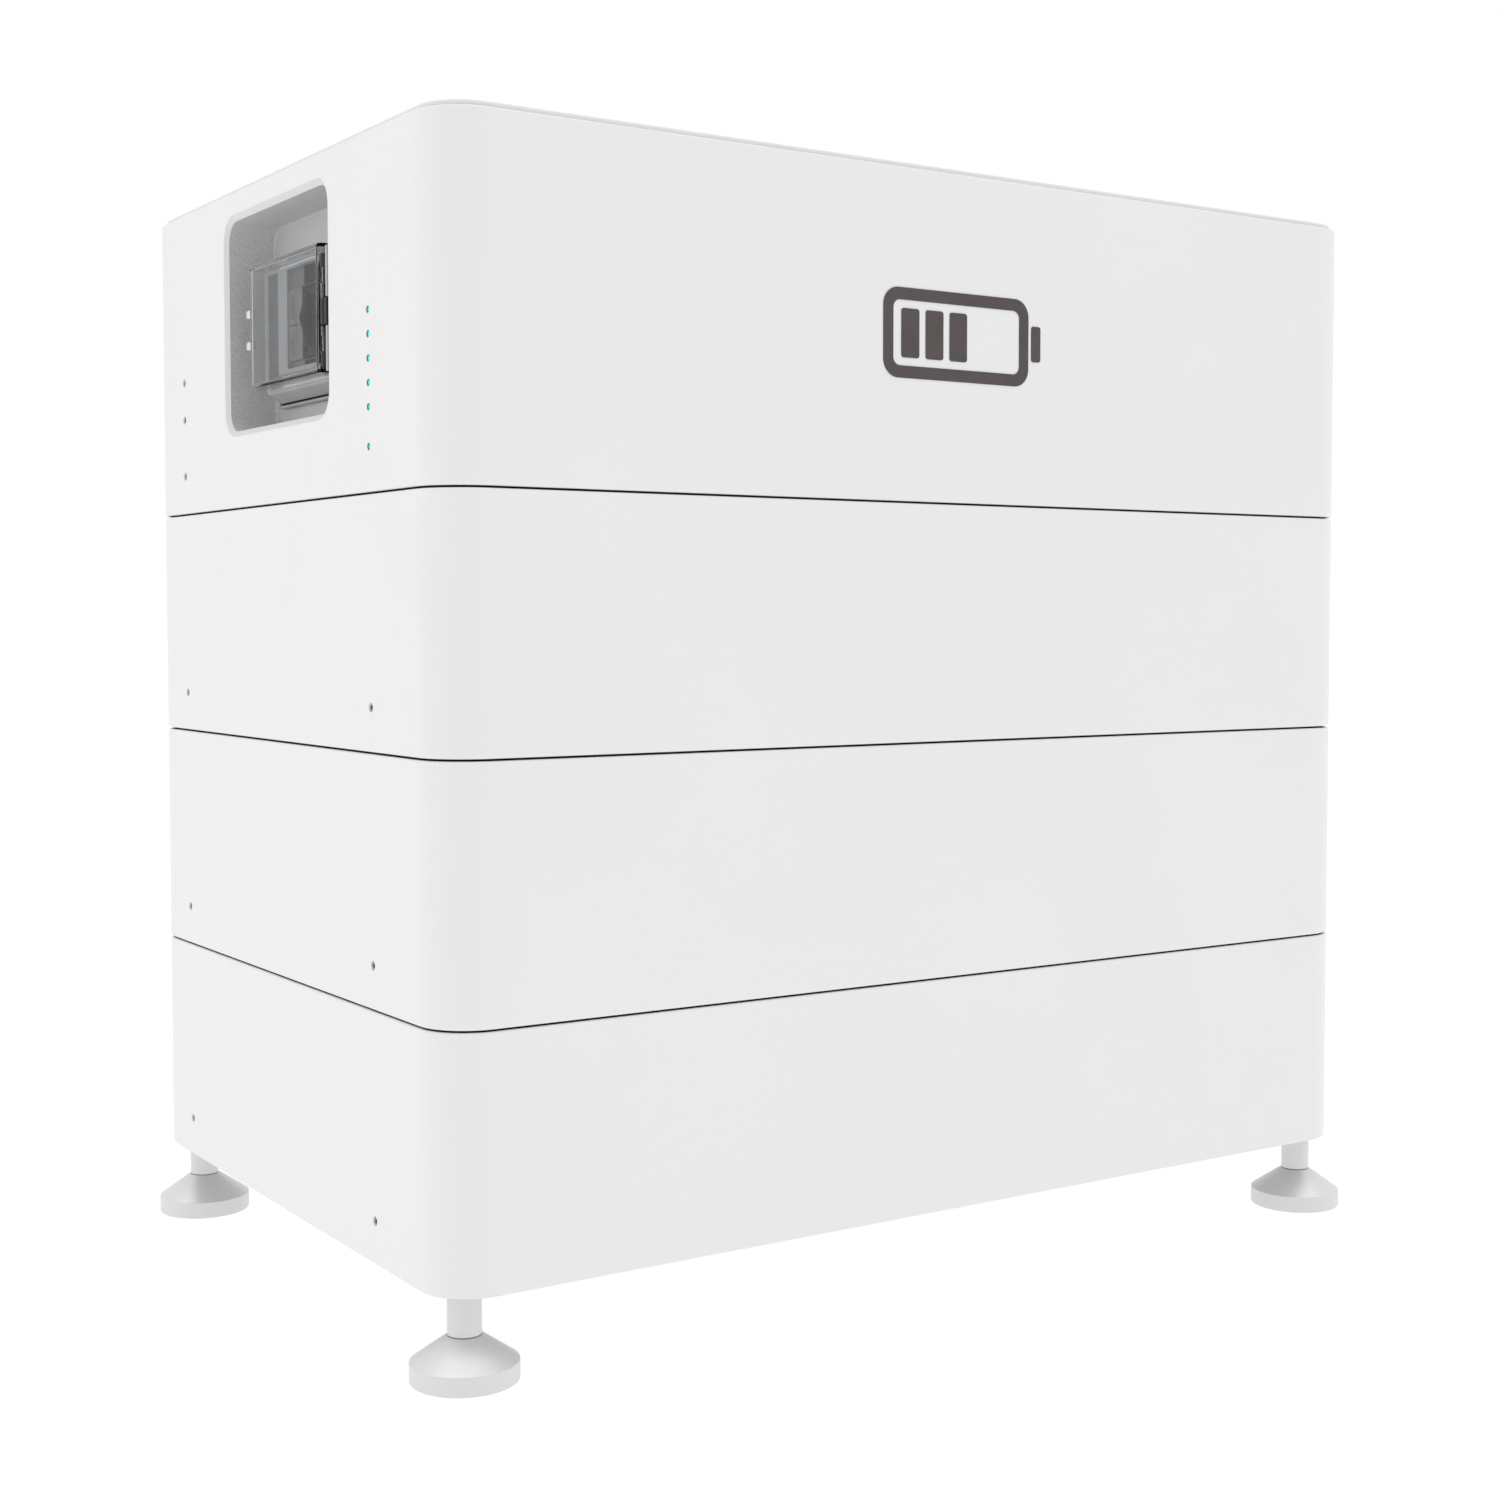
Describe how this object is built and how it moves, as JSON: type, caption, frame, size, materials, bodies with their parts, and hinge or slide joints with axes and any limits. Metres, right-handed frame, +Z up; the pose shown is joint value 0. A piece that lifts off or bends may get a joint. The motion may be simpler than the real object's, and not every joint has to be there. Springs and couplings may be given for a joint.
{
  "type": "stacked home storage battery",
  "caption": "Floor-standing white storage battery: stacked battery modules under a control module with a clear breaker hood, on levelling feet.",
  "frame": {"origin": "on the floor, under the centre of the four feet", "axes": "+Z up, the front face with the battery symbol towards -Y, the breaker recess on the -X side"},
  "size_m": [0.5826, 0.3916, 0.5634],
  "materials": {
    "wrap_white": "satin",
    "lid_white": "satin",
    "chassis_steel": "satin",
    "galvanised_steel": "matte",
    "cell_blue": "satin",
    "plate_aluminium": "satin",
    "copper": "satin",
    "board_green": "satin",
    "base_grey": "satin",
    "hood_clear": "gloss",
    "hinge_black": "satin",
    "pin_steel": "satin",
    "tab_white": "satin",
    "breaker_grey": "matte",
    "toggle_black": "satin",
    "contactor_black": "matte",
    "fuse_ceramic": "matte",
    "socket_plastic": "satin",
    "port_metal": "satin",
    "stud_brass": "satin",
    "button_white": "satin",
    "badge_print": "matte",
    "link_plastic": "matte",
    "gasket_rubber": "matte",
    "fastener_steel": "satin",
    "foot_steel": "satin",
    "led_cyan": "gloss"
  },
  "bodies": {
    "casing": {"module_1_wrap_cover": "wrap_white", "module_1_chassis": "chassis_steel", "module_1_cells": "cell_blue", "module_1_end_plates": "plate_aluminium", "module_1_busbars": "copper", "module_1_bms_board": "board_green", "module_2_wrap_cover": "wrap_white", "module_2_chassis": "chassis_steel", "module_2_cells": "cell_blue", "module_2_end_plates": "plate_aluminium", "module_2_busbars": "copper", "module_2_bms_board": "board_green", "module_3_wrap_cover": "wrap_white", "module_3_chassis": "chassis_steel", "module_3_cells": "cell_blue", "module_3_end_plates": "plate_aluminium", "module_3_busbars": "copper", "module_3_bms_board": "board_green", "control_wrap_cover": "wrap_white", "control_top_lid": "lid_white", "control_base_tray": "chassis_steel", "control_deck": "chassis_steel", "control_cells": "cell_blue", "control_end_plates": "plate_aluminium", "control_busbars": "copper", "control_boards": "board_green", "breaker_window_frame": "wrap_white", "breaker_recess_back": "galvanised_steel", "breaker_recess_tray": "galvanised_steel", "hood_base": "base_grey", "hood_hinge_blocks": "hinge_black", "hood_hinge_pins": "pin_steel", "breaker_body": "breaker_grey", "led_light_pipes": "led_cyan", "connector_window_frame": "wrap_white", "connector_recess_back": "galvanised_steel", "contactors": "contactor_black", "dc_fuse": "fuse_ceramic", "connector_recess_tray": "galvanised_steel", "dc_sockets": "socket_plastic", "data_ports": "port_metal", "earth_stud": "stud_brass", "front_badge": "badge_print", "stack_connectors": "link_plastic", "seam_gaskets": "gasket_rubber", "locating_pins": "fastener_steel", "cover_screws": "fastener_steel", "foot_nuts": "fastener_steel"},
    "hood": {"hood_cover": "hood_clear", "hood_finger_tabs": "tab_white"},
    "breaker_switch": {"breaker_toggle": "toggle_black"},
    "power_button": {"power_button": "button_white"},
    "foot_1_pad": {"foot_1_pad": "foot_steel"},
    "foot_1_stem": {"foot_1_stem": "foot_steel"},
    "foot_2_pad": {"foot_2_pad": "foot_steel"},
    "foot_2_stem": {"foot_2_stem": "foot_steel"},
    "foot_3_pad": {"foot_3_pad": "foot_steel"},
    "foot_3_stem": {"foot_3_stem": "foot_steel"},
    "foot_4_pad": {"foot_4_pad": "foot_steel"},
    "foot_4_stem": {"foot_4_stem": "foot_steel"}
  },
  "joints": [
    {"name": "hood_hinge", "type": "hinge", "parent": "casing", "child": "hood", "pos_m": [-0.279, -0.0525, 0.4885], "axis": [0, 0, 1], "range_deg": [0, 105]},
    {"name": "breaker_throw", "type": "hinge", "parent": "casing", "child": "breaker_switch", "pos_m": [-0.264, -0.008, 0.4885], "axis": [0, 0, -1], "range_deg": [0, 50]},
    {"name": "button_press", "type": "slide", "parent": "casing", "child": "power_button", "axis": [-1, 0, 0], "range_m": [0, 0.002], "stiffness_N_per_m": 500, "springref_m": -0.001},
    {"name": "foot_1_level", "type": "slide", "parent": "casing", "child": "foot_1_pad", "axis": [0, 0, -1], "range_m": [0, 0.015]},
    {"name": "foot_1_turn", "type": "hinge", "parent": "foot_1_pad", "child": "foot_1_stem", "pos_m": [-0.2665, -0.171, 0.03], "axis": [0, 0, 1], "range_deg": [0, 3090]},
    {"name": "foot_2_level", "type": "slide", "parent": "casing", "child": "foot_2_pad", "axis": [0, 0, -1], "range_m": [0, 0.015]},
    {"name": "foot_2_turn", "type": "hinge", "parent": "foot_2_pad", "child": "foot_2_stem", "pos_m": [0.2665, -0.171, 0.03], "axis": [0, 0, 1], "range_deg": [0, 3090]},
    {"name": "foot_3_level", "type": "slide", "parent": "casing", "child": "foot_3_pad", "axis": [0, 0, -1], "range_m": [0, 0.015]},
    {"name": "foot_3_turn", "type": "hinge", "parent": "foot_3_pad", "child": "foot_3_stem", "pos_m": [0.2665, 0.171, 0.03], "axis": [0, 0, 1], "range_deg": [0, 3090]},
    {"name": "foot_4_level", "type": "slide", "parent": "casing", "child": "foot_4_pad", "axis": [0, 0, -1], "range_m": [0, 0.015]},
    {"name": "foot_4_turn", "type": "hinge", "parent": "foot_4_pad", "child": "foot_4_stem", "pos_m": [-0.2665, 0.171, 0.03], "axis": [0, 0, 1], "range_deg": [0, 3090]}
  ],
  "couplings": [
    {"joint": "foot_1_turn", "follows": "foot_1_level", "rad_per_m": 3590.4},
    {"joint": "foot_2_turn", "follows": "foot_2_level", "rad_per_m": 3590.4},
    {"joint": "foot_3_turn", "follows": "foot_3_level", "rad_per_m": 3590.4},
    {"joint": "foot_4_turn", "follows": "foot_4_level", "rad_per_m": 3590.4}
  ]
}
